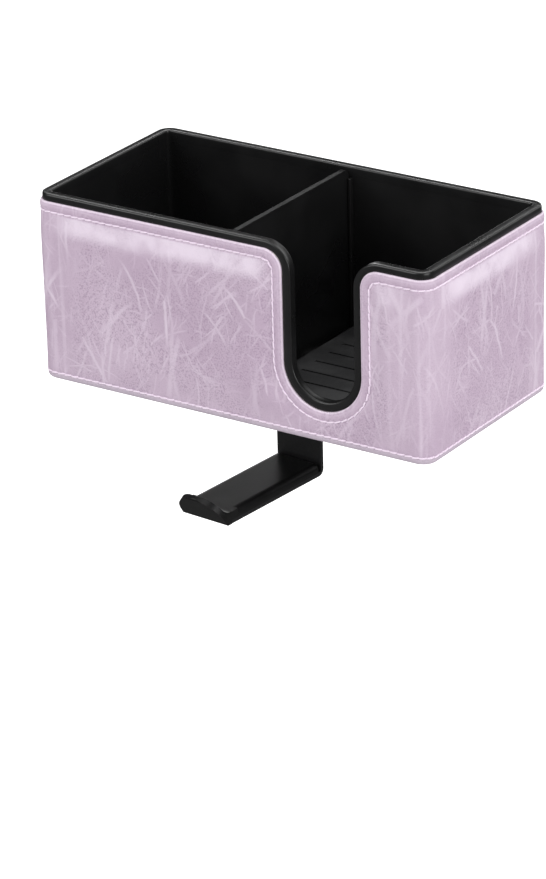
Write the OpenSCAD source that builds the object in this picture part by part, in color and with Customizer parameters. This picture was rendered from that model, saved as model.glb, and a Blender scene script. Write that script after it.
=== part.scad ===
// Desk clamp cup holder: a two-bay leather-wrapped tray on a screw clamp,
// with a swivelling headphone hook under it.
// Every module is drawn in the tray's own frame: X to the right, Y to the back,
// Z up, zero at the centre of the tray's underside. placed() then moves it so
// that the origin is the centre of the upper jaw's contact face.

/* [Tray] */
// Width over the leather
box_w = 198; // [190:1:210]
// Depth over the leather
box_d = 100; // [98:1:104]
// Height of the leather's top edge
leather_h = 82; // [80:1:90]
// Height of the rim above the leather
rim_rise = 3; // [2:0.5:4]
// Radius of the vertical corners, over the leather
corner_r = 7.6; // [7:0.2:10]
// Thickness of the leather
leather_t = 1; // [0.8:0.1:1]
// Thickness of the foam under the leather
foam_t = 2; // [2:0.1:2.2]
// Thickness of the tray's walls and floor
wall_t = 2.6; // [2.4:0.1:2.8]
// Height of the bays' floor
floor_z = 10.6; // [10:0.1:12]
// Thickness of the lift-out divider
divider_t = 2.4; // [2:0.1:2.6]

/* [Mug handle notch] */
// Distance of the notch from the middle of the tray
notch_x = 46.5; // [44:0.5:49]
// Half width of the opening in the leather
notch_half = 19.2; // [18:0.2:21]
// Height of the lowest point of the leather's edge
notch_z = 14.4; // [14:0.2:18]
// Width of the black lip round the opening
lip_w = 3.8; // [3:0.2:4.2]
// Radius where the notch runs out into the top edge
flare_r = 9; // [7:0.5:10]

/* [Clamp] */
// Height of the desk's top face above the tray's underside
seat_z = 50; // [48:1:52]
// Width of the clamp frame
frame_w = 44; // [42:1:48]
// Reach from the desk's edge to the middle of the jaw
reach = 17.85; // [17.5:0.05:20]
// Desk thickness that the clamp is drawn at
desk_t = 25; // [22:1:30]
// Radius of the clamp screw
screw_r = 5; // [4.5:0.1:5]
// Radius of the knob
knob_r = 18; // [16:0.5:20]

/* [Headphone hook] */
// Width of the bent steel strip
strip_w = 24; // [22:0.5:26]
// Thickness of the strip
strip_t = 1.8; // [1.6:0.1:2.2]
// Depth of the hook below the tray
hook_drop = 43; // [40:1:50]
// Reach of the hook in front of the strip
hook_reach = 64.8; // [58:0.2:72]
// Forward lean of the tab at the end of the hook, from upright
tab_lean = 34; // [20:1:45]
// Angle that the hook is drawn turned to the left, in degrees
hook_yaw = 5; // [0:1:10]

/* [Hidden] */
$fn = 64;

gap = 0.05;            // assembly gap between neighbouring pieces
slip = 0.3;            // clearance of a hand-fitted sliding piece
over = 1;              // how far a cutting shape runs past the face it cuts

// tray stack
skin_t = leather_t + foam_t;
rim_top = leather_h + rim_rise;
rim_inset = 1.5;
tray_w = box_w - 2 * skin_t;
tray_d = box_d - 2 * skin_t;
tray_r = corner_r - skin_t;
bay_r = tray_r - wall_t;
bay_w = tray_w - 2 * wall_t;
bay_d = tray_d - 2 * wall_t;
floor_under = floor_z - wall_t;
skirt_z = 3.2;         // underside of the tray shell's walls
hem_w = 10;            // leather turned in under the base
panel_t = 2;
rib_t = 1.6;
guide_t = 1.5;
guide_depth = 2;
lip_proud = 2.2;       // how far the notch lip stands out of the tray wall

// mats
mat_t = 1.5;
mat_gap = 1;
mat_r = 3;
groove_w = 1.6;
groove_h = 0.5;
groove_pitch = 11;

// base screws, their countersunk heads and their bosses
base_spots = [for (x = [-1, 0, 1], y = [-1, 1]) [x * (box_w / 2 - 19), y * (box_d / 2 - 17)]];
base_screw_r = 1.45;
base_head_r = 2.8;
base_head_z = 1.7;
base_boss_r = 3.6;

// bracket
bracket_w = 50;
bracket_t = 2.5;
bracket_front = -22;
bracket_top = 44;
leg_y = box_d / 2 + gap;
shelf_z = -gap - bracket_t;    // underside of the bracket's shelf
shelf_spots = [for (x = [-18, 18], y = [-13, 34]) [x, y]];
shelf_screw_r = 2;
shelf_head_r = 3.8;
insert_r = 2.8;
insert_top = 8.2;
bolt_spots = [for (x = [-14, 14], z = [20, 37]) [x, z]];
bolt_r = 2.5;
bolt_head_r = 4.7;
bolt_head_h = 2.6;
sleeve_r = 4.3;
screw_play = 0.2;      // radial room round a screw's shank

// clamp frame
frame_y = leg_y + bracket_t + gap;
spine_t = 9;
spine_y = frame_y + spine_t;
pad_t = 1.5;
desk_y = spine_y + gap + pad_t;
jaw_y = desk_y + reach;
jaw_z = seat_z + pad_t + gap;
jaw_tip = jaw_y + 17;
jaw_h = 7.5;
low_z = -16;           // top of the lower jaw
low_h = 11;
boss_r = 14;
bush_r = 7.5;
flange_r = 10;
nut_r = 4.6;
nut_pocket = 4.4;

// clamp screw, foot and knob
foot_z = seat_z - desk_t;
foot_r = 15;
foot_pad_t = 2.4;
plate_z = foot_z - foot_pad_t - gap;
plate_t = 3;
plate_hub_r = 8;
hub_z = foot_z - 12;   // where the plate's hub sits on the screw's shoulder
neck_r = 3.9;
clip_r = 6;
clip_z = plate_z - 2;
groove_r = 3;          // bottom of the clip's groove
knob_top = -46;
knob_h = 12;
knob_bottom = knob_top - knob_h;
collar_r = 9;
collar_h = 3;
cap_r = 9.9;
pin_r = 1.5;
running = 0.05;

// hook
pivot_y = 20;
pivot_r = 4;
pivot_thread_r = 3;
hub_r = 15.5;
hub_top = -4.15;
hub_bottom = -22;
hub_bore_r = 5.5;
well_r = 7.6;
well_z = -13.6;        // shoulder that the washer and the nut bear on
nut_bottom = -19.5;
hub_front = 6.25;
strip_top = -6;
strip_screw_z = -14;
strip_screw_x = 8;
strip_screw_r = 1.97;
saddle_screw_r = 1.27;
bend_r = 3;
saddle_h = 4;
saddle_w = strip_w + 0.4;
shoulder_r = 2.8;
toe_t = 3;             // from the hook's front edge to the end of the strip
tab_t = 2.6;
tab_straight = 2.3;    // part of the tab below its round end
tab_fillet = 5;

// ---------------------------------------------------------------- helpers

module placed() {
    translate([0, -jaw_y, -seat_z]) children();
}

module turned_hook() {
    placed()
        translate([0, pivot_y, 0])
            rotate(-hook_yaw)
                translate([0, -pivot_y, 0]) children();
}

// corner list [x, y, radius] to a closed outline with true fillets
function unit(v) = v / norm(v);
function fillet(p, c, n, steps = 6) =
    let (
        a = unit([p[0] - c[0], p[1] - c[1]]),
        b = unit([n[0] - c[0], n[1] - c[1]]),
        half = acos(a * b) / 2,
        mid = [c[0], c[1]] + unit(a + b) * c[2] / sin(half),
        s = [c[0], c[1]] + a * c[2] / tan(half) - mid,
        e = [c[0], c[1]] + b * c[2] / tan(half) - mid,
        a0 = atan2(s[1], s[0]),
        turn = atan2(s[0] * e[1] - s[1] * e[0], s * e)
    )
    c[2] == 0
        ? [[c[0], c[1]]]
        : [for (i = [0:steps]) mid + c[2] * [cos(a0 + turn * i / steps), sin(a0 + turn * i / steps)]];

module outline(corners) {
    count = len(corners);
    polygon([for (i = [0:count - 1])
        each fillet(corners[(i + count - 1) % count], corners[i], corners[(i + 1) % count])]);
}

module rounded_rect(w, d, r) {
    square([w - 2 * r, d], center = true);
    square([w, d - 2 * r], center = true);
    for (x = [-1, 1], y = [-1, 1])
        translate([x * (w / 2 - r), y * (d / 2 - r)]) circle(r = r);
}

module prism(w, d, r, z0, z1) {
    translate([0, 0, z0]) linear_extrude(z1 - z0) rounded_rect(w, d, r);
}

module tube_z(r_out, r_in, z0, z1) {
    translate([0, 0, z0])
        difference() {
            cylinder(r = r_out, h = z1 - z0);
            translate([0, 0, -over]) cylinder(r = r_in, h = z1 - z0 + 2 * over);
        }
}

module rod_z(r, z0, z1) {
    translate([0, 0, z0]) cylinder(r = r, h = z1 - z0);
}

module rod_y(r, y0, y1) {
    translate([0, y1, 0]) rotate([90, 0, 0]) cylinder(r = r, h = y1 - y0);
}

// a YZ outline, extruded across X and centred
module across(w) {
    translate([-w / 2, 0, 0]) rotate([90, 0, 90]) linear_extrude(w) children();
}

// U notch seen from the front: X across, Y up
module notch_2d(half, low, flare, top) {
    translate([0, low + half]) circle(r = half);
    translate([-half, low + half]) square([2 * half, top - low - half + over]);
    difference() {
        translate([-half - flare, top - flare]) square([2 * (half + flare), flare + over]);
        for (x = [-1, 1])
            translate([x * (half + flare), top - flare]) circle(r = flare);
    }
}

module notch_cut(half, low, flare, top, y0, y1) {
    translate([notch_x, y1, 0])
        rotate([90, 0, 0])
            linear_extrude(y1 - y0) notch_2d(half, low, flare, top);
}

// opening that the tray's own lip leaves free
module bay_notch(y0, y1) {
    notch_cut(notch_half - lip_w, notch_z + lip_w, flare_r + lip_w, rim_top, y0, y1);
}

// the leather's opening, grown by extra all round
module skin_notch(extra, y0, y1) {
    notch_cut(notch_half + extra, notch_z - extra, flare_r - extra, leather_h, y0, y1);
}

module at_spots(spots) {
    for (s = spots) translate([s[0], s[1], 0]) children();
}

module at_bolts() {
    for (s = bolt_spots) translate([s[0], 0, s[1]]) children();
}

// ---------------------------------------------------------------- tray

// rim section: X from the outer face inwards is negative, Y up from the leather edge
module rim_section() {
    rim_w = skin_t - rim_inset + wall_t;
    outline([[0, gap, 0], [0, rim_rise, 1.2], [-rim_w, rim_rise, 1.2], [-rim_w, gap - 1, 0],
        [-rim_w + wall_t, gap - 1, 0], [-rim_w + wall_t, gap, 0]]);
}

module rim() {
    w = box_w / 2 - rim_inset;
    d = box_d / 2 - rim_inset;
    r = corner_r - rim_inset;
    translate([0, 0, leather_h]) {
        for (q = [[1, 1, 0], [-1, 1, 90], [-1, -1, 180], [1, -1, 270]])
            translate([q[0] * (w - r), q[1] * (d - r), 0])
                rotate(q[2])
                    rotate_extrude(angle = 90) translate([r, 0]) rim_section();
        for (side = [-1, 1]) {
            rotate(90 - side * 90)
                translate([w, d - r, 0])
                    rotate([90, 0, 0]) linear_extrude(2 * (d - r)) rim_section();
            rotate(side * 90)
                translate([d, w - r, 0])
                    rotate([90, 0, 0]) linear_extrude(2 * (w - r)) rim_section();
        }
    }
}

// bead round the notch, up to where the rim takes over
module notch_lip() {
    y0 = -tray_d / 2 - lip_proud;
    difference() {
        notch_cut(notch_half - gap, notch_z + gap, flare_r + gap, leather_h, y0, -tray_d / 2);
        translate([-box_w, -box_d, leather_h - 0.5]) cube([2 * box_w, box_d, 20]);
    }
}

module divider_guides() {
    guide_x = divider_t / 2 + slip;
    guide_h = leather_h - floor_z - 2;
    for (x = [-1, 1], y = [-1, 1])
        translate([x * (guide_x + guide_t / 2), y * (bay_d - guide_depth) / 2,
            floor_z + guide_h / 2])
            cube([guide_t, guide_depth + 0.2, guide_h + 0.2], center = true);
}

module under_ribs() {
    rib_h = floor_under - skirt_z;
    translate([0, 0, skirt_z + rib_h / 2 + 0.1]) {
        for (x = [-72, -48, 48, 72])
            translate([x, 0, 0]) cube([rib_t, tray_d - 2, rib_h + 0.2], center = true);
        for (y = [-22, 24])
            for (x = [-62, 62])
                translate([x, y, 0]) cube([66, rib_t, rib_h + 0.2], center = true);
    }
}

module tray_shell() {
    color([0.06, 0.06, 0.065]) placed() difference() {
        union() {
            difference() {
                prism(tray_w, tray_d, tray_r, skirt_z, leather_h + 0.3);
                prism(bay_w, bay_d, bay_r, floor_z, rim_top + over);
                prism(bay_w, bay_d, bay_r, skirt_z - over, floor_under);
            }
            rim();
            notch_lip();
            divider_guides();
            under_ribs();
            at_spots(base_spots) rod_z(base_boss_r, skirt_z, floor_under + 0.2);
            at_spots(shelf_spots) rod_z(insert_r + 2, skirt_z, floor_under + 0.2);
        }
        bay_notch(-box_d / 2 - over, -tray_d / 2 + wall_t + over);
        at_spots(base_spots) rod_z(base_screw_r + gap, skirt_z - over, floor_under);
        at_spots(shelf_spots) rod_z(insert_r + gap, skirt_z - over, floor_under + 0.8);
        at_bolts() rod_y(bolt_r + screw_play, bay_d / 2 - over, tray_d / 2 + over);
    }
}

module foam_liner() {
    color([0.9, 0.88, 0.8]) placed() difference() {
        prism(tray_w + 2 * foam_t - 2 * gap, tray_d + 2 * foam_t - 2 * gap,
            tray_r + foam_t - gap, skirt_z, leather_h - 1.5);
        prism(tray_w + 2 * gap, tray_d + 2 * gap, tray_r + gap, skirt_z - over, leather_h + over);
        skin_notch(0.3, -box_d / 2 - over, -tray_d / 2 + over);
        at_bolts() rod_y(sleeve_r + gap, tray_d / 2 - over, box_d / 2 + over);
    }
}

module leather_wrap() {
    in_w = box_w - 2 * leather_t;
    in_d = box_d - 2 * leather_t;
    color([0.79, 0.68, 0.8]) placed() difference() {
        prism(box_w, box_d, corner_r, 0, leather_h);
        prism(in_w, in_d, corner_r - leather_t, leather_t, leather_h + over);
        prism(in_w - 2 * hem_w, in_d - 2 * hem_w, 2, -over, leather_t + over);
        skin_notch(0, -box_d / 2 - over, -tray_d / 2);
        at_bolts() rod_y(sleeve_r + gap, box_d / 2 - skin_t, box_d / 2 + over);
    }
}

module base_panel() {
    in_w = box_w - 2 * leather_t - 2 * gap;
    in_d = box_d - 2 * leather_t - 2 * gap;
    color([0.09, 0.09, 0.1]) placed() difference() {
        union() {
            prism(in_w, in_d, corner_r - leather_t, leather_t + gap, leather_t + gap + panel_t);
            prism(in_w - 2 * hem_w - 0.2, in_d - 2 * hem_w - 0.2, 1.9, 0, leather_t + gap + 0.2);
        }
        at_spots(base_spots) {
            rod_z(base_screw_r + screw_play, -over, 4);
            rod_z(base_head_r + screw_play, -over, base_head_z + gap);
        }
        at_spots(shelf_spots) rod_z(shelf_screw_r + screw_play, -over, 4);
        translate([0, pivot_y, 0]) rod_z(8, -over, 4);
    }
}

module base_screws() {
    color([0.2, 0.2, 0.21]) placed() at_spots(base_spots) difference() {
        union() {
            rod_z(base_head_r, 0.2, base_head_z);
            rod_z(base_screw_r, 1.6, floor_under - 0.4);
        }
        drive_recess(0.2, 1.1);
    }
}

// cross recess cut upwards from z0
module drive_recess(z0, size) {
    for (a = [0, 90])
        translate([0, 0, z0]) rotate(a) cube([2 * size, 0.6, 1.6], center = true);
}

module bay_mat(side) {
    w = bay_w / 2 - (divider_t / 2 + slip + guide_t) - 2 * mat_gap;
    x = side * (bay_w / 2 - mat_gap - w / 2);
    top = floor_z + gap + mat_t;
    color([0.13, 0.13, 0.14]) placed() translate([x, 0, 0]) difference() {
        prism(w, bay_d - 2 * mat_gap, mat_r, top - mat_t, top);
        for (i = [-3:3])
            translate([0, i * groove_pitch, top])
                cube([w - 14, groove_w, 2 * groove_h], center = true);
    }
}

module cup_mat() {
    bay_mat(1);
}

module phone_mat() {
    bay_mat(-1);
}

module divider_panel() {
    d = bay_d / 2 - 0.2;
    top = rim_top - 1;
    color([0.07, 0.07, 0.075]) placed() across(divider_t)
        outline([[-d, floor_z + 0.1, 1], [d, floor_z + 0.1, 1], [d, top, 3], [-d, top, 3]]);
}

// ---------------------------------------------------------------- bracket

// L bracket: a shelf under the tray and a leg up its back
module support_bracket() {
    back = leg_y + bracket_t;
    corner_cut = 9;
    color([0.11, 0.11, 0.12]) placed() difference() {
        across(bracket_w)
            outline([[bracket_front, -gap, 0], [bracket_front, shelf_z, 0],
                [back, shelf_z, bracket_t], [back, bracket_top, 0], [leg_y, bracket_top, 0],
                [leg_y, -gap, 0]]);
        for (x = [-1, 1]) {
            translate([x * bracket_w / 2, bracket_front, 0])
                rotate(45) cube([corner_cut, corner_cut, 20], center = true);
            translate([x * bracket_w / 2, back, bracket_top])
                rotate([0, 45, 0]) cube([corner_cut, 20, corner_cut], center = true);
        }
        at_spots(shelf_spots) rod_z(shelf_screw_r + screw_play, shelf_z - over, over);
        translate([0, pivot_y, 0]) rod_z(pivot_r + gap, shelf_z - over, over);
        at_bolts() rod_y(bolt_r + screw_play, leg_y - over, back + over);
    }
}

module shelf_screws() {
    head_z = shelf_z - gap;
    head_h = 2.2;
    color([0.75, 0.75, 0.77]) placed() at_spots(shelf_spots) difference() {
        union() {
            rod_z(shelf_screw_r, head_z - 0.1, insert_top - 0.2);
            rod_z(shelf_head_r, head_z - head_h, head_z);
        }
        hex_recess(head_z - head_h, 1.5, 1.2);
    }
}

// hexagon recess cut upwards from a head's face at z0
module hex_recess(z0, r, depth) {
    translate([0, 0, z0 - 0.1]) rotate(30) cylinder(r = r, h = depth + 0.1, $fn = 6);
}

module shelf_inserts() {
    color([0.8, 0.65, 0.3]) placed() at_spots(shelf_spots)
        tube_z(insert_r, shelf_screw_r + 0.03, skirt_z + 0.1, insert_top);
}

module wall_sleeves() {
    color([0.7, 0.7, 0.72]) placed() at_bolts() difference() {
        rod_y(sleeve_r, tray_d / 2 + gap, box_d / 2);
        rod_y(bolt_r + screw_play, tray_d / 2 - over, box_d / 2 + over);
    }
}

module frame_bolts() {
    head_y = bay_d / 2 - gap;
    color([0.72, 0.72, 0.74]) placed() at_bolts() difference() {
        union() {
            rod_y(bolt_r, head_y - 0.1, spine_y - 0.3);
            rod_y(bolt_head_r, head_y - bolt_head_h, head_y);
        }
        translate([0, head_y - 0.9, 0]) rotate([90, 0, 0]) cylinder(r = 1.75, h = 3, $fn = 6);
    }
}

module frame_nuts() {
    color([0.75, 0.75, 0.77]) placed() at_bolts() difference() {
        translate([0, spine_y - 0.2, 0])
            rotate([90, 0, 0]) cylinder(r = nut_r, h = nut_pocket - 0.3, $fn = 6);
        rod_y(bolt_r + 0.03, spine_y - 10, spine_y + over);
    }
}

// ---------------------------------------------------------------- clamp

// C outline of the frame, seen from the side
module frame_profile() {
    foot = low_z - low_h;
    outline([
        [frame_y, foot - 3, 5],
        [frame_y, jaw_z + jaw_h + 0.5, 6],
        [jaw_tip, jaw_z + jaw_h - 2.5, 3],
        [jaw_tip, jaw_z, 1],
        [spine_y, jaw_z, 2],
        [spine_y, low_z, 3],
        [jaw_y + 4, low_z, 0],
        [jaw_y + 4, foot, 0],
        [jaw_y - boss_r, foot, 6],
        [spine_y + 1, foot - 3, 6]
    ]);
}

// plan of the spine and the upper jaw
module upper_plan() {
    depth = jaw_tip - frame_y;
    translate([0, frame_y + depth / 2]) rounded_rect(frame_w, depth, 4);
}

// plan of the lower jaw, which narrows to the boss
module lower_plan() {
    w = frame_w / 2;
    outline([[-w, frame_y, 4], [-w, spine_y + 1, 6], [1 - boss_r, jaw_y, 0], [boss_r - 1, jaw_y, 0],
        [w, spine_y + 1, 6], [w, frame_y, 4]]);
    translate([0, jaw_y]) circle(r = boss_r);
}

module clamp_frame() {
    pocket = 2.2;
    split_z = low_z + 6;
    color([0.1, 0.1, 0.11]) placed() difference() {
        intersection() {
            union() {
                across(frame_w + 2) frame_profile();
                translate([0, jaw_y, 0]) rod_z(boss_r, low_z - low_h, low_z);
            }
            union() {
                translate([0, 0, split_z]) linear_extrude(100) upper_plan();
                translate([0, 0, split_z - 50]) linear_extrude(50) lower_plan();
                translate([0, 0, split_z - 50]) linear_extrude(100)
                    translate([-frame_w / 2, frame_y + 2]) square([frame_w, spine_t - 2]);
            }
        }
        // side pockets leave a web between two flanges
        for (x = [-1, 1])
            translate([x * (frame_w / 2 - pocket / 2 + 0.5), 0, 0])
                across(pocket + 1) frame_pocket();
        translate([0, jaw_y, 0]) rod_z(bush_r + gap, low_z - 30, low_z + over);
        at_bolts() rod_y(bolt_r + screw_play, frame_y - over, spine_y + over);
        at_bolts() translate([0, spine_y + over, 0])
            rotate([90, 0, 0]) cylinder(r = nut_r + 0.15, h = nut_pocket + over, $fn = 6);
    }
}

// long pocket in the spine's sides
module frame_pocket() {
    outline([
        [frame_y + 2.6, low_z - 4, 1.8],
        [frame_y + 2.6, jaw_z + 2, 1.8],
        [spine_y - 2.4, jaw_z + 2, 1.8],
        [spine_y - 2.4, low_z - 4, 1.8]
    ]);
}

module jaw_pad() {
    d = jaw_tip - desk_y - 2;
    color([0.16, 0.16, 0.17]) placed() translate([0, jaw_y, 0]) difference() {
        prism(frame_w - 4, d, 3, seat_z, seat_z + pad_t);
        for (x = [-17.5:5:17.5])
            translate([x, 0, seat_z]) cube([1.2, d - 5, 1], center = true);
    }
}

module edge_pad() {
    z0 = low_z + 4;
    z1 = seat_z - 3;
    color([0.16, 0.16, 0.17]) placed()
        translate([0, spine_y + gap, (z0 + z1) / 2])
            rotate([-90, 0, 0]) linear_extrude(pad_t) rounded_rect(frame_w - 4, z1 - z0, 3);
}

module jaw_bush() {
    color([0.78, 0.62, 0.3]) placed() translate([0, jaw_y, 0]) difference() {
        union() {
            rod_z(bush_r, low_z - low_h - 1, low_z + 0.1);
            rod_z(flange_r, low_z + gap, low_z + 2);
        }
        rod_z(screw_r + running, low_z - 30, low_z + 10);
    }
}

// cross hole for the knob's pin
module pin_hole(length) {
    translate([0, 0, knob_top - knob_h / 2])
        rotate([0, 90, 0]) cylinder(r = pin_r + gap, h = length, center = true);
}

module clamp_screw() {
    color([0.66, 0.67, 0.7]) placed() translate([0, jaw_y, 0]) difference() {
        union() {
            rod_z(screw_r, knob_bottom + 2.5, hub_z - gap);
            rod_z(neck_r, hub_z - 1, plate_z - 0.5);
        }
        tube_z(neck_r + 1, groove_r, clip_z + 0.1, clip_z + 1.1);
        pin_hole(4 * screw_r);
    }
}

// C clip in the screw's groove
module foot_clip() {
    color([0.5, 0.5, 0.53]) placed() translate([0, jaw_y, clip_z + 0.15])
        difference() {
            cylinder(r = clip_r, h = 0.9);
            translate([0, 0, -over]) cylinder(r = groove_r + gap, h = 4);
            translate([0, -clip_r, 0]) cube([4.6, 2 * clip_r, 6], center = true);
        }
}

module pressure_plate() {
    color([0.6, 0.6, 0.63]) placed() translate([0, jaw_y, 0]) difference() {
        union() {
            rod_z(foot_r, plate_z - plate_t, plate_z);
            rod_z(plate_hub_r, hub_z, plate_z - plate_t + 0.2);
        }
        rod_z(neck_r + running, hub_z - over, plate_z + over);
        rod_z(clip_r + 1, clip_z, plate_z + over);
    }
}

module pressure_pad() {
    color([0.16, 0.16, 0.17]) placed() translate([0, jaw_y, 0]) difference() {
        rod_z(foot_r, foot_z - foot_pad_t, foot_z);
        for (r = [5, 9, 13])
            tube_z(r + 0.6, r - 0.6, foot_z - 0.5, foot_z + over);
    }
}

module clamp_knob() {
    lobes = 7;
    flute_r = 6;
    flute_at = knob_r + 3.4;
    color([0.07, 0.07, 0.075]) placed() translate([0, jaw_y, 0]) difference() {
        union() {
            difference() {
                rod_z(knob_r, knob_bottom, knob_top);
                for (i = [0:lobes - 1])
                    rotate((i + 0.5) * 360 / lobes) translate([flute_at, 0, 0])
                        rod_z(flute_r, knob_bottom - over, knob_top + over);
            }
            rod_z(collar_r, knob_top - 0.2, knob_top + collar_h);
        }
        rod_z(screw_r + 0.03, knob_bottom - over, knob_top + collar_h + over);
        rod_z(cap_r + 0.1, knob_bottom - over, knob_bottom + 2);
        pin_hole(2 * knob_r + 2);
    }
}

module knob_pin() {
    color([0.6, 0.6, 0.63]) placed()
        translate([0, jaw_y, knob_top - knob_h / 2])
            rotate([0, 90, 0]) cylinder(r = pin_r, h = 2 * knob_r - 6, center = true);
}

module knob_cap() {
    color([0.12, 0.12, 0.13]) placed() translate([0, jaw_y, 0])
        rod_z(cap_r, knob_bottom + 0.2, knob_bottom + 1.9);
}

// ---------------------------------------------------------------- hook

// shoulder bolt: hexagon head in the base, plain shoulder, thinner thread
module pivot_bolt() {
    color([0.66, 0.67, 0.7]) placed() translate([0, pivot_y, 0]) {
        cylinder(r = 7, h = 4, $fn = 6);
        rod_z(pivot_r, well_z, 0.1);
        rod_z(pivot_thread_r, nut_bottom - 0.4, well_z + 0.1);
    }
}

module pivot_washer() {
    color([0.88, 0.87, 0.82]) placed() translate([0, pivot_y, 0])
        tube_z(13, pivot_r + running, hub_top + gap, shelf_z - gap);
}

module spring_washer() {
    color([0.6, 0.6, 0.63]) placed() translate([0, pivot_y, 0])
        tube_z(6.5, pivot_thread_r + running, well_z - 1.3, well_z - gap);
}

module pivot_nut() {
    color([0.7, 0.7, 0.73]) placed() translate([0, pivot_y, 0]) difference() {
        translate([0, 0, nut_bottom])
            cylinder(r = 5.75, h = well_z - 1.35 - nut_bottom, $fn = 6);
        rod_z(pivot_thread_r + 0.03, nut_bottom - over, well_z);
    }
}

module at_strip_screws() {
    for (x = [-1, 1]) translate([x * strip_screw_x, 0, strip_screw_z]) children();
}

module swivel_hub() {
    color([0.07, 0.07, 0.075]) turned_hook() difference() {
        translate([0, pivot_y, 0]) rod_z(hub_r, hub_bottom, hub_top);
        translate([0, hub_front - 10, 0]) cube([60, 20, 80], center = true);
        translate([0, pivot_y, 0]) {
            rod_z(hub_bore_r + gap, hub_bottom - over, hub_top + over);
            rod_z(well_r, hub_bottom - over, well_z);
        }
        at_strip_screws() rod_y(strip_screw_r + 0.03, 0, 9);
    }
}

module pivot_bush() {
    color([0.8, 0.65, 0.35]) turned_hook() translate([0, pivot_y, 0])
        tube_z(hub_bore_r, pivot_r + running, well_z + 0.1, hub_top - 0.1);
}

module hub_cap() {
    color([0.12, 0.12, 0.13]) turned_hook() translate([0, pivot_y, 0])
        rod_z(well_r - gap, hub_bottom, hub_bottom + 1.6);
}

// bent strip: leg down from the hub, then forward
module hook_strip() {
    y_back = hub_front - gap;
    front = y_back - strip_t;
    tip = front - hook_reach + toe_t;
    color([0.1, 0.1, 0.11]) turned_hook() difference() {
        across(strip_w)
            outline([
                [front, strip_top, 0.6], [front, -hook_drop + strip_t, bend_r - strip_t],
                [tip, -hook_drop + strip_t, 0], [tip, -hook_drop, 0],
                [y_back, -hook_drop, bend_r], [y_back, strip_top, 0.6]
            ]);
        at_strip_screws() rod_y(strip_screw_r + screw_play, front - over, y_back + over);
        at_saddle_screws()
            rod_z(saddle_screw_r + 0.3, -hook_drop - over, -hook_drop + strip_t + over);
    }
}

module at_saddle_screws() {
    for (reach_y = [16, 50]) translate([0, hub_front - reach_y, 0]) children();
}

module strip_screws() {
    front = hub_front - gap - strip_t - gap;
    head_h = 2.1;
    color([0.3, 0.3, 0.31]) turned_hook() at_strip_screws() difference() {
        union() {
            rod_y(strip_screw_r, front - 0.1, 8.8);
            rod_y(3.7, front - head_h, front);
        }
        translate([0, front - 1, 0]) rotate([90, 0, 0]) cylinder(r = 1.4, h = 3, $fn = 6);
    }
}

// moulded rest on the strip's forward arm: rounded shoulders, and a tab turned up at its end
module hook_saddle() {
    front = hub_front - gap - strip_t;
    plate = -hook_drop + strip_t + gap;
    top = plate + saddle_h;
    toe = front - hook_reach;
    back = front - 2;
    color([0.06, 0.06, 0.065]) turned_hook() difference() {
        union() {
            translate([0, back, 0]) rotate([90, 0, 0])
                linear_extrude(back - toe - toe_t + 1) shoulders(plate, top);
            intersection() {
                across(saddle_w) tab_profile(toe, top);
                translate([0, toe, -hook_drop]) rotate([tab_lean, 0, 0]) tab_outline();
            }
        }
        translate([-box_w / 2, toe + toe_t - gap, plate - 10]) cube([box_w, box_d, 10]);
        at_saddle_screws() rod_z(saddle_screw_r + 0.03, plate - over, plate + 3.2);
    }
}

// side view of the hook's end: the tab rises from the front edge, with a fillet behind it
module tab_profile(toe, top) {
    up = [-sin(tab_lean), cos(tab_lean)];
    inward = [cos(tab_lean), sin(tab_lean)];
    foot = [toe, -hook_drop];
    tip = foot + (tab_straight + saddle_w / 2) * up;
    inner = foot + tab_t * inward;
    root = inner + up * (top - inner[1]) / up[1];
    outline([
        [foot[0], foot[1], 0.8], [tip[0], tip[1], 0.9],
        [tip[0] + tab_t * inward[0], tip[1] + tab_t * inward[1], 0.9],
        [root[0], root[1], tab_fillet], [toe + toe_t + 4, top, 0],
        [toe + toe_t + 4, -hook_drop, 0]
    ]);
}

// face-on view of the tab, straight below and fully round above
module tab_outline() {
    r = saddle_w / 2;
    rotate([90, 0, 0]) {
        translate([0, tab_straight, -box_d / 2]) cylinder(r = r, h = box_d);
        translate([-r, tab_straight - 20, -box_d / 2]) cube([2 * r, 20, box_d]);
    }
}

// cross section of the rest, flat below and rounded above
module shoulders(z0, z1) {
    w = saddle_w / 2;
    outline([[-w, z0, 0], [w, z0, 0], [w, z1, shoulder_r], [-w, z1, shoulder_r]]);
}

module saddle_screws() {
    under = -hook_drop - gap;
    head_h = 1.6;
    color([0.3, 0.3, 0.31]) turned_hook() at_saddle_screws() difference() {
        union() {
            rod_z(saddle_screw_r, under - 0.1, under + strip_t + 3);
            rod_z(2.8, under - head_h, under);
        }
        hex_recess(under - head_h, 1.1, 1);
    }
}

tray_shell();
foam_liner();
leather_wrap();
base_panel();
base_screws();
cup_mat();
phone_mat();
divider_panel();
support_bracket();
shelf_screws();
shelf_inserts();
wall_sleeves();
frame_bolts();
frame_nuts();
clamp_frame();
jaw_pad();
edge_pad();
jaw_bush();
clamp_screw();
clamp_knob();
knob_pin();
knob_cap();
foot_clip();
pressure_plate();
pressure_pad();
pivot_bolt();
pivot_washer();
spring_washer();
pivot_nut();
swivel_hub();
pivot_bush();
hub_cap();
hook_strip();
strip_screws();
hook_saddle();
saddle_screws();
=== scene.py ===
"""Looks of the desk clamp cup holder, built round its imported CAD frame."""

import math
import random

import bmesh
import bpy
import numpy as np
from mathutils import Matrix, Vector
from mathutils.geometry import delaunay_2d_cdt


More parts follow.
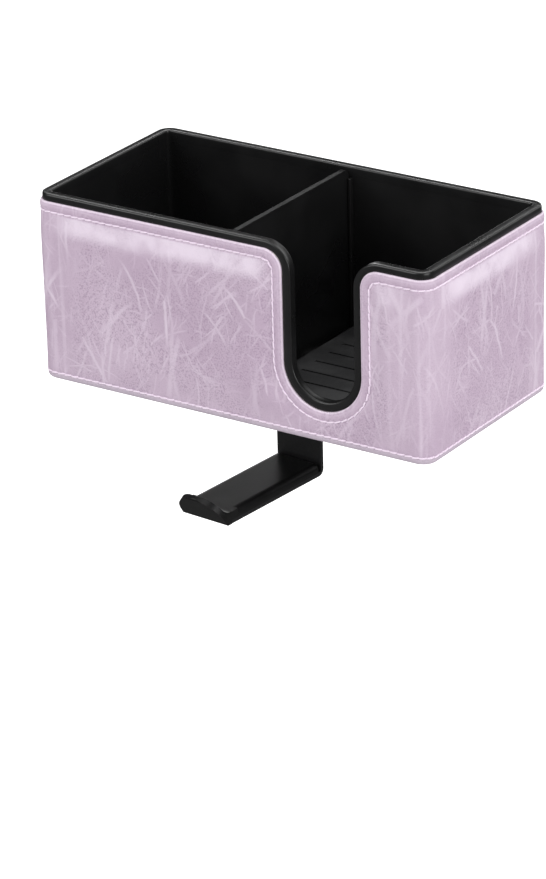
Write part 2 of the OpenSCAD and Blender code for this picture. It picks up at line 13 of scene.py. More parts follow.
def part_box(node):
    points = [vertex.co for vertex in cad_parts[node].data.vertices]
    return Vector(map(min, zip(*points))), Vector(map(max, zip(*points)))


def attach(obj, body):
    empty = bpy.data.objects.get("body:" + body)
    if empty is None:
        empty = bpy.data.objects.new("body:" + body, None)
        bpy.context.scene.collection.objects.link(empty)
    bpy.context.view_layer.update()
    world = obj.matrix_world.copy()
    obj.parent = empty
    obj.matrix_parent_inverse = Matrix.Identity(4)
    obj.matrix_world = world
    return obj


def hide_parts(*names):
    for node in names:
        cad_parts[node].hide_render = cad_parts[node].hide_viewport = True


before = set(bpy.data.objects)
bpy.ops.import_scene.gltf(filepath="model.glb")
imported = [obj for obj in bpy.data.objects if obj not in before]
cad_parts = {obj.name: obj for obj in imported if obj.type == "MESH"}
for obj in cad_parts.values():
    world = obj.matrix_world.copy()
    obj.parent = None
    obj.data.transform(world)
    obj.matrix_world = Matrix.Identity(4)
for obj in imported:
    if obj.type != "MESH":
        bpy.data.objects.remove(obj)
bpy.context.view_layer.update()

MM = 0.001

# ------------------------------------------------------------------ frame sizes

LEATHER_LO, LEATHER_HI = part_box("leather_wrap")
TRAY_LO, TRAY_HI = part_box("tray_shell")
CENTRE = (LEATHER_LO + LEATHER_HI) / 2
BASE_Z = LEATHER_LO.z
HALF_W = (LEATHER_HI.x - LEATHER_LO.x) / 2 / MM
HALF_D = (LEATHER_HI.y - LEATHER_LO.y) / 2 / MM
TOP = (LEATHER_HI.z - LEATHER_LO.z) / MM
RIM_RISE = (TRAY_HI.z - LEATHER_HI.z) / MM
SKIRT_Z = (TRAY_LO.z - BASE_Z) / MM
FLOOR_Z = (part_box("cup_mat")[0].z - BASE_Z) / MM

# ------------------------------------------------------------------ leather and tray, in mm

CORNER_R = 7.6
LEATHER_T = 0.8
LEATHER_SUNK = 0.45  # how far the flat leather lies in from its nominal face
LEAST_CORNER_R = 0.6  # how sharp the corners get where the hem turns in under the base
NOTCH_X = 46.5
NOTCH_HALF = 19.2
NOTCH_LOW = 14.4  # lowest point of the leather's edge in the notch
FLARE = 9.0  # radius where the notch runs out into the top edge
LIP = 3.8  # width of the black lip round the notch
EDGE_STEP = 1.3  # about how far apart the points along the edge are
TRAY_OUT = -3.0  # tray wall's outer face, from the leather's outer face
TRAY_IN = -5.6
STITCH_D = 4.5  # stitch line below the leather's edge
STITCH_PITCH = 3.6
STITCH_R = 0.4
HEM_STITCH_V = 3.3  # hem's stitch above the leather's bottom
HEM_R = 2.4
HEM_IN = 9.5  # how far the hem runs in under the base
PUFF_HIGHLIGHT_LOW = 16.5  # how far below the edge the painted highlight band on the puffed leather ends
GUIDE_SLIP = 0.3  # room between the divider and its guides
GUIDE_T = 1.5
GUIDE_DEPTH = 2.0
GUIDE_BELOW_TOP = 2.0

STRAIGHT_X = HALF_W - CORNER_R
STRAIGHT_Y = HALF_D - CORNER_R
ARC = math.pi / 2 * CORNER_R
LOOP = 4 * (STRAIGHT_X + STRAIGHT_Y + ARC)


# ------------------------------------------------------------------ small helpers


def smooth(x, a, b):
    """0 below a, 1 above b, smooth between."""
    t = np.clip((np.asarray(x, float) - a) / (b - a), 0, 1)
    return t * t * (3 - 2 * t)


def new_object(name, verts, faces, material, body, shade=True):
    mesh = bpy.data.meshes.new(name)
    mesh.from_pydata([tuple(v) for v in verts], [], [tuple(f) for f in faces])
    mesh.validate()
    obj = bpy.data.objects.new(name, mesh)
    bpy.context.scene.collection.objects.link(obj)
    mesh.materials.append(material)
    if shade:
        mesh.polygons.foreach_set("use_smooth", [True] * len(mesh.polygons))
    mesh.update()
    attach(obj, body)
    return obj


def weld(obj, distance=1e-5):
    """Joins points closer than distance, in metres, and makes the faces' normals agree."""
    bm = bmesh.new()
    bm.from_mesh(obj.data)
    bmesh.ops.remove_doubles(bm, verts=bm.verts, dist=distance)
    bmesh.ops.dissolve_degenerate(bm, edges=bm.edges, dist=1e-7)
    bmesh.ops.recalc_face_normals(bm, faces=bm.faces)
    bm.to_mesh(obj.data)
    bm.free()
    obj.data.update()


def modifier(obj, kind, **settings):
    m = obj.modifiers.new(kind.lower(), kind)
    for key, value in settings.items():
        setattr(m, key, value)
    return m


def bevel(obj, width, segments=3):
    modifier(
        obj,
        "BEVEL",
        width=width * MM,
        segments=segments,
        limit_method="ANGLE",
        angle_limit=math.radians(35),
        harden_normals=True,
    )


# ------------------------------------------------------------------ the wall round the box


def wall_point(s, off):
    """Point at arc length s from the front's middle, in mm from the box's centre.

    off moves the face out, and shrinks or grows the corners with it.
    """
    s = (s + LOOP / 2) % LOOP - LOOP / 2
    sign = -1.0 if s < 0 else 1.0
    s = abs(s)
    radius = max(CORNER_R + off, LEAST_CORNER_R)
    shift = CORNER_R + off - radius
    sx, sy = STRAIGHT_X + shift, STRAIGHT_Y + shift
    w, d = HALF_W + off, HALF_D + off
    first = STRAIGHT_X
    side = first + ARC
    second = side + 2 * STRAIGHT_Y
    back = second + ARC
    if s <= first:
        x, y = s * sx / STRAIGHT_X, -d
    elif s <= side:
        a = (s - first) / CORNER_R
        x, y = sx + radius * math.sin(a), -sy - radius * math.cos(a)
    elif s <= second:
        x, y = w, (s - side - STRAIGHT_Y) * sy / STRAIGHT_Y
    elif s <= back:
        a = (s - second) / CORNER_R
        x, y = sx + radius * math.cos(a), sy + radius * math.sin(a)
    else:
        x, y = (LOOP / 2 - s) * sx / STRAIGHT_X, d
    return sign * x, y


def place(s, v, off):
    """Scene point of wall coordinates: arc length s, height v and distance out, in mm."""
    x, y = wall_point(s, off)
    return Vector((CENTRE.x + x * MM, CENTRE.y + y * MM, BASE_Z + v * MM))


def notch_curve(f):
    """The edge's line round the whole box, from the back seam to the back seam, as (s, v).

    f 0 is the leather's edge, f 1 the tray's free edge; below 0 it lies in the leather.
    Every f gives the same number of points, and point i always matches point i.
    """
    half = NOTCH_HALF - LIP * f
    low = NOTCH_LOW + LIP * f
    flare = FLARE + LIP * f
    top = TOP + RIM_RISE * f
    if f < 0:
        top = TOP + LIP * f
    cu, cv = half + flare, top - flare

    def run(p, q, n):
        return [(p[0] + (q[0] - p[0]) * i / n, p[1] + (q[1] - p[1]) * i / n) for i in range(n)]

    def arc(c, r, a0, a1, n):
        angles = [math.radians(a0 + (a1 - a0) * i / n) for i in range(n)]
        return [(c[0] + r * math.cos(a), c[1] + r * math.sin(a)) for a in angles]

    # the points lie closer on the flares and round the bowl
    left_n = round((LOOP / 2 + NOTCH_X - NOTCH_HALF - FLARE) / EDGE_STEP)
    right_n = round((LOOP / 2 - NOTCH_X - NOTCH_HALF - FLARE) / EDGE_STEP)
    flare_n = round(FLARE * math.pi / 2 / EDGE_STEP * 1.6)
    side_n = round((TOP - FLARE - NOTCH_LOW - NOTCH_HALF) / EDGE_STEP)
    bowl_n = round(NOTCH_HALF * math.pi / EDGE_STEP * 1.3)
    pts = run((-LOOP / 2, top), (NOTCH_X - cu, top), left_n)
    pts += arc((NOTCH_X - cu, cv), flare, 90, 0, flare_n)
    pts += run((NOTCH_X - half, cv), (NOTCH_X - half, low + half), side_n)
    pts += arc((NOTCH_X, low + half), half, 180, 360, bowl_n)
    pts += run((NOTCH_X + half, low + half), (NOTCH_X + half, cv), side_n)
    pts += arc((NOTCH_X + cu, cv), flare, 180, 90, flare_n)
    pts += run((NOTCH_X + cu, top), (LOOP / 2, top), right_n)
    return pts + [(LOOP / 2, top)]


def edge_distance(s, v):
    """Distance in mm into the leather from its top and notch edge, for arrays s and v."""
    s, v = np.asarray(s, float), np.asarray(v, float)
    u = np.abs(s - NOTCH_X)
    cu, cv = NOTCH_HALF + FLARE, TOP - FLARE
    bowl = NOTCH_LOW + NOTCH_HALF
    side = np.where(v > bowl, u - NOTCH_HALF, np.hypot(u, v - bowl) - NOTCH_HALF)
    corner = FLARE - np.hypot(cu - u, v - cv)
    d = np.minimum(TOP - v, np.where(u > cu, np.maximum(side, 0), side))
    d = np.where((u > cu) & (v > cv), TOP - v, d)
    return np.where((u <= cu) & (v > cv), corner, d)


def corner_distance(s):
    """Distance in mm along the wall from the nearest rounded corner's middle."""
    s = np.abs(np.asarray(s, float))
    first = STRAIGHT_X + ARC / 2
    second = first + ARC + 2 * STRAIGHT_Y
    return np.minimum(np.abs(s - first), np.abs(s - second))


def triangulate(rings, grid, outer):
    """Constrained triangles of the region inside the closed outline, through all the points."""
    points = list(outer)
    edges = [(i, (i + 1) % len(outer)) for i in range(len(outer))]
    for ring in rings:
        base = len(points)
        points.extend(ring)
        edges.extend((base + i, base + i + 1) for i in range(len(ring) - 1))
    points.extend(grid)
    result = delaunay_2d_cdt([Vector(p) for p in points], edges, [], 1, 1e-4)
    verts, faces = result[0], result[2]
    return [(p.x, p.y) for p in verts], faces


def wall_sheet(f_edge, ring_depths, low_v, rows, step):
    """Mesh of the wall in (s, v), from the edge curve f_edge down to low_v.

    Lines of points follow the edge at ring_depths, in mm. A staggered grid fills the rest, with
    a row at each height in rows and a point every step.
    """
    n = round(LOOP / step)
    edge = notch_curve(f_edge)
    side_v = [r for r in rows if low_v < r < edge[0][1]]
    right = [(LOOP / 2, v) for v in sorted(side_v, reverse=True)]
    bottom = [(LOOP / 2 - LOOP * i / n, low_v) for i in range(n + 1)]
    left = [(-LOOP / 2, v) for v in sorted(side_v)]
    outline = edge + right + bottom + left
    rings = [notch_curve(f_edge - depth / LIP)[1:-1] for depth in ring_depths]
    deepest = ring_depths[-1] - f_edge * LIP
    grid = []
    for j, v in enumerate(sorted(side_v)):
        shift = 0.5 if j % 2 else 0.0
        for i in range(1, n):
            s = -LOOP / 2 + LOOP * (i + shift) / n
            if s > LOOP / 2 - 0.4 * step:
                continue
            grid.append((s, v))
    keep = edge_distance([p[0] for p in grid], [p[1] for p in grid]) > deepest + 0.55 * step
    grid = [p for p, k in zip(grid, keep) if k]
    return triangulate(rings, grid, outline)


# ------------------------------------------------------------------ materials


def linear(r, g, b):
    """sRGB 0..255 to a linear colour."""
    out = []
    for c in (r, g, b):
        c = c / 255
        out.append(c / 12.92 if c <= 0.04045 else ((c + 0.055) / 1.055) ** 2.4)
    return (*out, 1.0)


class Nodes:
    """Short hand for building a material's node tree."""

    def __init__(self, name):
        self.material = bpy.data.materials.new(name)
        self.material.use_nodes = True
        self.tree = self.material.node_tree
        self.shader = self.tree.nodes["Principled BSDF"]
        self.coord = self.tree.nodes.new("ShaderNodeTexCoord").outputs["Object"]

    def link(self, source, target):
        if isinstance(source, (int, float, tuple)):
            target.default_value = source
        else:
            self.tree.links.new(source, target)

    def put(self, **inputs):
        for name, source in inputs.items():
            self.link(source, self.shader.inputs[name.replace("_", " ")])

    def mapping(self, scale=(1, 1, 1), vector=None, rotation=(0, 0, 0)):
        n = self.tree.nodes.new("ShaderNodeMapping")
        n.inputs["Scale"].default_value = scale
        n.inputs["Rotation"].default_value = rotation
        self.link(vector or self.coord, n.inputs["Vector"])
        return n.outputs[0]

    def noise(self, scale, vector=None, detail=3.0, rough=0.5):
        n = self.tree.nodes.new("ShaderNodeTexNoise")
        self.link(vector or self.coord, n.inputs["Vector"])
        n.inputs["Scale"].default_value = scale
        n.inputs["Detail"].default_value = detail
        n.inputs["Roughness"].default_value = rough
        return n.outputs["Fac"]

    def noise_vector(self, scale, amount, vector=None):
        """The coordinate shifted by a vector noise."""
        n = self.tree.nodes.new("ShaderNodeTexNoise")
        self.link(vector or self.coord, n.inputs["Vector"])
        n.inputs["Scale"].default_value = scale
        n.inputs["Detail"].default_value = 2
        centred = self.vector("SUBTRACT", n.outputs["Color"], (0.5, 0.5, 0.5))
        scaled = self.vector("MULTIPLY", centred, (amount, amount, amount))
        return self.vector("ADD", vector or self.coord, scaled)

    def cells(self, scale):
        n = self.tree.nodes.new("ShaderNodeTexVoronoi")
        self.link(self.coord, n.inputs["Vector"])
        n.inputs["Scale"].default_value = scale
        return n.outputs["Distance"]

    def ramp(self, value, lo, hi, a=0.0, b=1.0, curve="SMOOTHSTEP"):
        """Maps lo..hi to a..b, and holds a and b outside."""
        n = self.tree.nodes.new("ShaderNodeMapRange")
        n.interpolation_type = curve
        self.link(value, n.inputs["Value"])
        n.inputs["From Min"].default_value = lo
        n.inputs["From Max"].default_value = hi
        n.inputs["To Min"].default_value = a
        n.inputs["To Max"].default_value = b
        return n.outputs["Result"]

    def between(self, chance, a, b):
        """A value from a to b, for a chance from 0 to 1."""
        return self.ramp(chance, 0, 1, a, b, "LINEAR")

    def math(self, operation, a, b=0.0):
        n = self.tree.nodes.new("ShaderNodeMath")
        n.operation = operation
        self.link(a, n.inputs[0])
        self.link(b, n.inputs[1])
        return n.outputs[0]

    def mix(self, factor, a, b):
        n = self.tree.nodes.new("ShaderNodeMix")
        n.data_type = "RGBA"
        self.link(factor, n.inputs["Factor"])
        self.link(a, n.inputs["A"])
        self.link(b, n.inputs["B"])
        return n.outputs["Result"]

    def attribute(self, name, output="Fac"):
        n = self.tree.nodes.new("ShaderNodeAttribute")
        n.attribute_name = name
        return n.outputs[output]

    def vector(self, operation, a, b):
        n = self.tree.nodes.new("ShaderNodeVectorMath")
        n.operation = operation
        self.link(a, n.inputs[0])
        self.link(b, n.inputs[1])
        return n.outputs["Vector"]

    def split(self, vector):
        n = self.tree.nodes.new("ShaderNodeSeparateXYZ")
        self.link(vector, n.inputs[0])
        return n.outputs

    def strokes(self, sheet, density, offset, turn, spread, width, length, count=1):
        """Thin, nearly straight strokes on a flat sheet, one to each cell, fading at both ends.

        density is in cells to the metre, width and length are in cells. The strokes lie
        within spread of turn, in radians from the sheet's first axis. With a count above 1,
        that many strokes cross at each cell's point.
        """
        shifted = self.vector("ADD", self.mapping((density, density, 0), sheet), offset)
        cells = self.tree.nodes.new("ShaderNodeTexVoronoi")
        cells.voronoi_dimensions = "2D"
        cells.inputs["Scale"].default_value = 1.0
        self.link(shifted, cells.inputs["Vector"])
        delta = self.vector("SUBTRACT", shifted, cells.outputs["Position"])
        chance = self.split(cells.outputs["Color"])
        total = None
        for i in range(count):
            angle = self.between(chance[i], spread - turn, -spread - turn)
            spun = self.tree.nodes.new("ShaderNodeVectorRotate")
            spun.rotation_type = "Z_AXIS"
            self.link(delta, spun.inputs["Vector"])
            self.link(angle, spun.inputs["Angle"])
            along, across, _ = self.split(spun.outputs[0])
            bow = self.between(chance[(i + 1) % 3], -0.35, 0.35)
            bent = self.math("MULTIPLY", bow, self.math("MULTIPLY", along, along))
            across = self.math("ABSOLUTE", self.math("ADD", across, bent))
            wide = self.between(chance[(i + 2) % 3], width * 0.5, width * 1.4)
            ratio = self.math("DIVIDE", across, wide)
            line = self.ramp(ratio, 0.2, 1.0, 1.0, 0.0)
            fade = self.ramp(self.math("ABSOLUTE", along), length * 0.35, length, 1.0, 0.0)
            stroke = self.math("MULTIPLY", line, fade)
            total = stroke if total is None else self.math("MAXIMUM", total, stroke)
        return self.math("MULTIPLY", total, self.between(chance[2], 0.45, 1.0))

    def bump(self, height, distance, strength=1.0, normal=None):
        n = self.tree.nodes.new("ShaderNodeBump")
        n.inputs["Strength"].default_value = strength
        n.inputs["Distance"].default_value = distance
        self.link(height, n.inputs["Height"])
        if normal is not None:
            self.link(normal, n.inputs["Normal"])
        return n.outputs["Normal"]


def leather_material():
    """Waxed lilac leather: pebbled grain, pale creases; painted highlights on the corners, the
    puffed band and the edge.

    Each row of the crease table is a layer of strokes: cells to the metre, the layer's offset,
    direction, spread, width and length in cells, strokes at each point, and strength.
    """
    m = Nodes("lilac_leather")
    sheet = m.attribute("sheet", "Vector")
    base = linear(193, 172, 192)
    deep = linear(164, 141, 165)
    pale = linear(205, 186, 204)
    # pale tone of the creases, also used for the painted highlight streaks at the corners
    vein_and_highlight = linear(224, 209, 224)

    warp = m.noise_vector(24, 0.014)
    cloud = m.ramp(m.noise(20, warp, 3), 0.36, 0.66)
    corner = m.attribute("corner")
    patch = m.ramp(m.noise(36, m.noise_vector(48, 0.008), 3, 0.6), 0.36, 0.5)
    patch = m.math("MULTIPLY", patch, m.ramp(corner, 0.0, 0.7, 1.0, 0.25))

    up, half_turn = math.pi / 2, math.pi
    crease = None
    for density, offset, turn, spread, width, length, count, strength in (
        (30, (3.3, 7.1, 0), up - 0.15, 0.7, 0.05, 0.64, 2, 0.9),
        (40, (14.6, 2.9, 0), up + 0.2, 0.55, 0.034, 0.68, 1, 1.0),
        (52, (8.4, 21.7, 0), up, half_turn, 0.036, 0.6, 3, 0.8),
        (66, (31.2, 5.6, 0), up + 0.3, 0.45, 0.04, 0.64, 1, 0.85),
        (78, (5.9, 17.3, 0), up - 0.35, 0.5, 0.045, 0.6, 2, 0.65),
        (118, (41.8, 9.2, 0), up, half_turn, 0.06, 0.6, 1, 0.5),
    ):
        shaky = m.noise_vector(220, 0.0012, sheet)
        stroke = m.strokes(shaky, density, offset, turn, spread, width, length, count)
        stroke = m.math("MULTIPLY", stroke, strength)
        crease = stroke if crease is None else m.math("MAXIMUM", crease, stroke)
    crease = m.math("MULTIPLY", crease, m.ramp(m.noise(26, warp, 2), 0.34, 0.56, 0.35, 1.0))

    pebble = m.noise(1300, m.noise_vector(800, 0.0005), 2, 0.6)
    grain = m.noise(2100, None, 3, 0.6)
    pore = m.ramp(pebble, 0.5, 0.6)

    # painted highlight: soft pale vertical streaks on the rounded corners
    corner_highlight = m.ramp(m.noise(230, m.mapping((1, 1, 0.025)), 3, 0.6), 0.48, 0.68)
    corner_highlight = m.math("MULTIPLY", corner_highlight, corner)

    colour = m.mix(cloud, base, pale)
    speckle = m.math("MULTIPLY", pore, m.ramp(patch, 0, 1, 0.08, 0.62))
    colour = m.mix(speckle, colour, deep)
    colour = m.mix(m.math("MULTIPLY", m.ramp(grain, 0.5, 0.66), 0.3), colour, deep)
    colour = m.mix(m.math("MULTIPLY", crease, 0.72), colour, vein_and_highlight)
    colour = m.mix(m.math("MULTIPLY", corner_highlight, 0.5), colour, vein_and_highlight)
    edge_tone = linear(194, 172, 193)
    colour = m.mix(m.math("MULTIPLY", m.attribute("border"), 0.45), colour, edge_tone)
    # painted highlight: a pale, patchy band on the puffed leather below the top stitch
    patchy_puff_highlight = m.ramp(m.noise(60, warp, 3), 0.34, 0.56, 0.55, 1)
    patchy_puff_highlight = m.math("MULTIPLY", m.attribute("puff_highlight"), patchy_puff_highlight)
    colour = m.mix(m.math("MULTIPLY", patchy_puff_highlight, 0.85), colour, linear(234, 221, 235))
    # painted highlights along the rolled edge: a bright line on the roll and a fainter one just
    # below it
    colour = m.mix(m.math("MULTIPLY", m.attribute("edge_highlight"), 0.8), colour, linear(240, 226, 240))
    colour = m.mix(m.attribute("under"), colour, linear(194, 183, 195))

    height = m.math("ADD", m.math("MULTIPLY", pore, -0.5), m.math("MULTIPLY", grain, 0.6))
    height = m.math("MULTIPLY", height, m.ramp(patch, 0, 1, 0.5, 1.0))
    fine = m.bump(height, 0.00016, 0.6)
    folds = m.bump(crease, 0.0003, 0.35, fine)
    swell = m.bump(m.noise(45, warp, 2), 0.0012, 0.3, folds)
    sheen = m.math("ADD", cloud, m.math("MULTIPLY", grain, 0.5))
    m.put(
        Base_Color=colour,
        Roughness=m.ramp(sheen, 0, 1.5, 0.56, 0.44),
        Normal=swell,
        Specular_IOR_Level=0.4,
        Coat_Weight=0.1,
        Coat_Roughness=0.3,
    )
    return m.material


def plastic(name, grey, rough, grain=0.00003, scale=2600, shine=0.5):
    """Moulded plastic: fine spark texture, faint flow marks and dulled spots."""
    m = Nodes(name)
    flow = m.noise(30, m.noise_vector(20, 0.02), 3)
    texture = m.noise(scale, None, 2, 0.6)
    dark, light = (grey, grey, grey * 1.04, 1), (grey * 1.5, grey * 1.5, grey * 1.55, 1)
    colour = m.mix(m.ramp(flow, 0.35, 0.7), dark, light)
    dust = m.ramp(m.noise(900, None, 4, 0.7), 0.62, 0.78)
    m.put(
        Base_Color=m.mix(m.math("MULTIPLY", dust, 0.06), colour, (0.08, 0.08, 0.085, 1)),
        Roughness=m.ramp(flow, 0.3, 0.75, rough - 0.04, rough + 0.06),
        Specular_IOR_Level=shine,
        Normal=m.bump(texture, grain, 0.5),
    )
    return m.material


def powder_coat(name):
    """Black powder coat on steel: orange peel and fine sparkle."""
    m = Nodes(name)
    peel = m.noise(700, None, 2)
    fine = m.noise(3200, None, 3, 0.65)
    height = m.math("ADD", peel, m.math("MULTIPLY", fine, 0.5))
    m.put(
        Base_Color=m.mix(m.ramp(fine, 0.5, 0.75), (0.012, 0.012, 0.013, 1), (0.03, 0.03, 0.032, 1)),
        Roughness=m.ramp(peel, 0.3, 0.7, 0.34, 0.46),
        Normal=m.bump(height, 0.00008, 0.5),
        Metallic=0.15,
    )
    return m.material


def metal(name, colour, rough, stretch=(1, 1, 1), scale=900):
    """Machined or plated metal with fine streaks along the stretched axes."""
    m = Nodes(name)
    corner_highlight = m.noise(scale, m.mapping(stretch), 4, 0.65)
    stain = m.noise(120, m.noise_vector(60, 0.006), 3)
    dark = tuple(c * 0.72 for c in colour)
    m.put(
        Base_Color=m.mix(m.ramp(stain, 0.35, 0.75), (*colour, 1), (*dark, 1)),
        Metallic=1.0,
        Roughness=m.ramp(corner_highlight, 0.3, 0.7, rough - 0.07, rough + 0.1),
        Normal=m.bump(corner_highlight, 0.00002, 0.4),
    )
    return m.material


def rubber(name, grey=0.03):
    """Matt moulded rubber with a dry, slightly dusty surface."""
    m = Nodes(name)
    skin = m.noise(1400, None, 4, 0.7)
    patch = m.noise(60, None, 3)
    m.put(
        Base_Color=m.mix(
            m.ramp(patch, 0.35, 0.7),
            (grey, grey, grey * 1.05, 1),
            (grey * 1.9, grey * 1.9, grey * 1.95, 1),
        ),
        Roughness=m.ramp(skin, 0.3, 0.7, 0.68, 0.86),
        Specular_IOR_Level=0.3,
        Normal=m.bump(skin, 0.00006, 0.6),
    )
    return m.material


def foam_material():
    m = Nodes("cell_foam")
    cells = m.cells(1900)
    m.put(
        Base_Color=m.mix(m.ramp(cells, 0.1, 0.6), (0.55, 0.52, 0.45, 1), (0.82, 0.8, 0.72, 1)),
        Roughness=0.95,
        Normal=m.bump(cells, 0.0002, 0.6),
    )
    return m.material


def thread_material():
    """Twisted polyester thread, one shade paler than the leather."""
    m = Nodes("pale_thread")
    twist = m.tree.nodes.new("ShaderNodeTexWave")
    twist.inputs["Scale"].default_value = 900
    twist.inputs["Distortion"].default_value = 1.5
    m.link(m.mapping(rotation=(0.6, 0.6, 0.6)), twist.inputs["Vector"])
    fuzz = m.noise(3000, None, 2)
    ply = twist.outputs["Fac"]
    m.put(
        Base_Color=m.mix(ply, linear(240, 220, 240), linear(255, 243, 255)),
        Roughness=m.ramp(fuzz, 0.2, 0.8, 0.5, 0.7),
        Normal=m.bump(ply, 0.0001, 0.6),
        Sheen_Weight=0.3,
    )
    return m.material


LEATHER = leather_material()
THREAD = thread_material()
TRAY_BLACK = plastic("tray_plastic", 0.0075, 0.3, 0.000002)
MOULDED = plastic("moulded_plastic", 0.005, 0.33, 0.00003, 1900, 0.28)
PANEL_BLACK = plastic("base_plastic", 0.012, 0.5, 0.0001, 1300)
COAT = powder_coat("black_powder_coat")
ZINC = metal("zinc_plate", (0.66, 0.67, 0.7), 0.27)
SPINDLE = metal("turned_steel", (0.6, 0.61, 0.63), 0.24, (0.15, 0.15, 1.0), 1600)
OXIDE = metal("black_oxide", (0.055, 0.055, 0.06), 0.38)
BRASS = metal("turned_brass", (0.83, 0.62, 0.28), 0.25, (0.2, 0.2, 1.0), 1400)
RUBBER = rubber("matt_rubber")
NYLON = plastic("natural_nylon", 0.7, 0.5)
FOAM = foam_material()


# ------------------------------------------------------------------ leather cover


def leather_relief(s, v):
    """Height in mm of the padded, stitched leather over its nominal face, at (s, v) in mm."""
    d = edge_distance(s, v)
    away = corner_distance(s)
    low = v - HEM_STITCH_V
    relief = np.full(len(d), -LEATHER_SUNK)
    # rolled edge
    roll = 1.3
    t = np.clip(1 - d / roll, 0, 1)
    relief -= 0.85 * (1 - np.sqrt(np.maximum(1 - t * t, 0)))
    # border between the edge and the stitch
    relief += 0.2 * np.sin(np.pi * np.clip(d / STITCH_D, 0, 1)) ** 0.8
    relief -= 0.14 * np.exp(-(((d - 1.25) / 0.28) ** 2))
    # stitch channels
    relief -= 0.34 * np.exp(-(((d - STITCH_D) / 0.7) ** 2))
    relief -= 0.3 * np.exp(-((low / 0.6) ** 2))
    # padding between the stitch lines
    flat = smooth(away, 6, 20)
    rise = smooth(d, STITCH_D, STITCH_D + 9.5) * smooth(low, 0, 16)
    relief += (0.35 + 0.75 * flat) * rise
    relief -= 0.35 * rise * smooth(d, 14, 45)
    # crease just inside the notch's stitch
    near_notch = np.abs(s - NOTCH_X) < NOTCH_HALF + FLARE
    crease = 0.16 * np.exp(-(((d - STITCH_D - 2.2) / 0.5) ** 2))
    relief -= np.where(near_notch & (v < TOP - FLARE), crease, 0)
    # slow hand-made unevenness
    wave = np.sin(s / 17.0 + 1.3) * np.sin(v / 13.0 + s / 41.0) + 0.6 * np.sin(s / 7.3 - v / 9.1)
    relief += 0.09 * wave * rise
    # butt seam at the middle of the back
    seam = LOOP / 2 - np.abs(s)
    relief -= 0.5 * np.exp(-((seam / 0.5) ** 2))
    return relief


def pull_marks(s, v, stitches):
    """Dimples where each stitch dives into the leather."""
    dimple = np.zeros(len(s))
    for s0, v0 in stitches:
        near = (np.abs(s - s0) < 1.6) & (np.abs(v - v0) < 1.6)
        if near.any():
            r2 = (s[near] - s0) ** 2 + (v[near] - v0) ** 2
            dimple[near] -= 0.22 * np.exp(-r2 / 0.4)
    return dimple


def hem_place(s, v, relief):
    """Point on the leather: the wall above, rolled under the bottom edge below."""
    if v >= HEM_R:
        return place(s, v, relief)
    a = min((HEM_R - v) / HEM_R, math.pi / 2)
    under = max(HEM_R - v - math.pi / 2 * HEM_R, 0.0)
    r = HEM_R + relief
    off = -HEM_R + r * math.cos(a) - under
    return place(s, HEM_R - r * math.sin(a), off)


def stitch_points(curve, pitch):
    """Evenly spaced points along a polyline of (s, v)."""
    p = np.array(curve)
    length = np.concatenate([[0], np.cumsum(np.hypot(*np.diff(p, axis=0).T))])
    n = round(length[-1] / pitch)
    at = np.linspace(0, length[-1], n + 1)
    return list(zip(np.interp(at, length, p[:, 0]), np.interp(at, length, p[:, 1])))


def leather_cover(stitches):
    """The padded leather sheet round the box, from its rolled edge to the hem under the base."""
    step = 1.5
    # the lines lie closer over the rolled edge and the stitch's channel
    depths = [0.25, 0.6, 1.0, 1.5, 2.2, 3.0, 3.6, 4.0, 4.3, 4.55, 4.85, 5.2, 5.8, 6.5, 7.3, 8.2]
    roll_v = [HEM_R - HEM_R * math.pi / 2 * i / 5 for i in range(6)]
    hem_end = roll_v[-1] - HEM_IN
    hem_v = [roll_v[-1] - HEM_IN * i / 6 for i in range(1, 6)]
    rows = list(np.arange(5.2, TOP, step * 0.866))  # makes the triangles nearly equilateral
    rows += [4.4, 3.9, 3.6, 3.3, 3.0, 2.7] + roll_v + hem_v  # closer about the hem's stitch
    flat, faces = wall_sheet(0.0, depths, hem_end, rows, step)
    s = np.array([p[0] for p in flat])
    v = np.array([p[1] for p in flat])
    relief = leather_relief(s, v) + pull_marks(s, v, stitches)
    relief = np.where(v < HEM_R, -LEATHER_SUNK * smooth(v, -2, HEM_R), relief)
    points = [hem_place(a, b, c) for a, b, c in zip(s, v, relief)]
    obj = new_object("leather_cover", points, faces, LEATHER, "tray_and_clamp")
    leather_shades(obj, s, v)
    weld(obj)
    modifier(obj, "SOLIDIFY", thickness=LEATHER_T * MM, offset=-1)
    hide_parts("leather_wrap")


def leather_shades(obj, s, v):
    """Vertex values that the leather's material reads: painted highlights on the rolled edge and
    the puffed band, the border, the hem where it folds under, and nearness to a corner.
    """
    sheet_attribute(obj, s, v)
    d = edge_distance(s, v)
    above = TOP - v
    away = corner_distance(s)
    free = np.abs(s - NOTCH_X) - NOTCH_HALF - FLARE
    # mask of the painted highlight band on the puffed leather below the stitch
    puff_highlight = smooth(above, STITCH_D + 0.4, STITCH_D + 1.6) * smooth(-above, -PUFF_HIGHLIGHT_LOW, -10)
    puff_highlight *= smooth(away, 3, 24) * smooth(free, -4, 6)
    shade_attribute(obj, "puff_highlight", puff_highlight)
    # painted highlight lines along the rolled edge
    lines = np.exp(-(((d - 0.3) / 0.32) ** 2)) + 0.55 * np.exp(-(((d - 1.75) / 0.28) ** 2))
    shade_attribute(obj, "edge_highlight", lines * (v > HEM_R))
    shade_attribute(obj, "border", smooth(d, 0.6, 1.0) * smooth(-d, -STITCH_D, -STITCH_D + 0.6))
    shade_attribute(obj, "under", smooth(-v, -HEM_STITCH_V + 0.2, -HEM_STITCH_V + 0.9) * 0.7)
    shade_attribute(obj, "corner", smooth(-away, -24, -8))


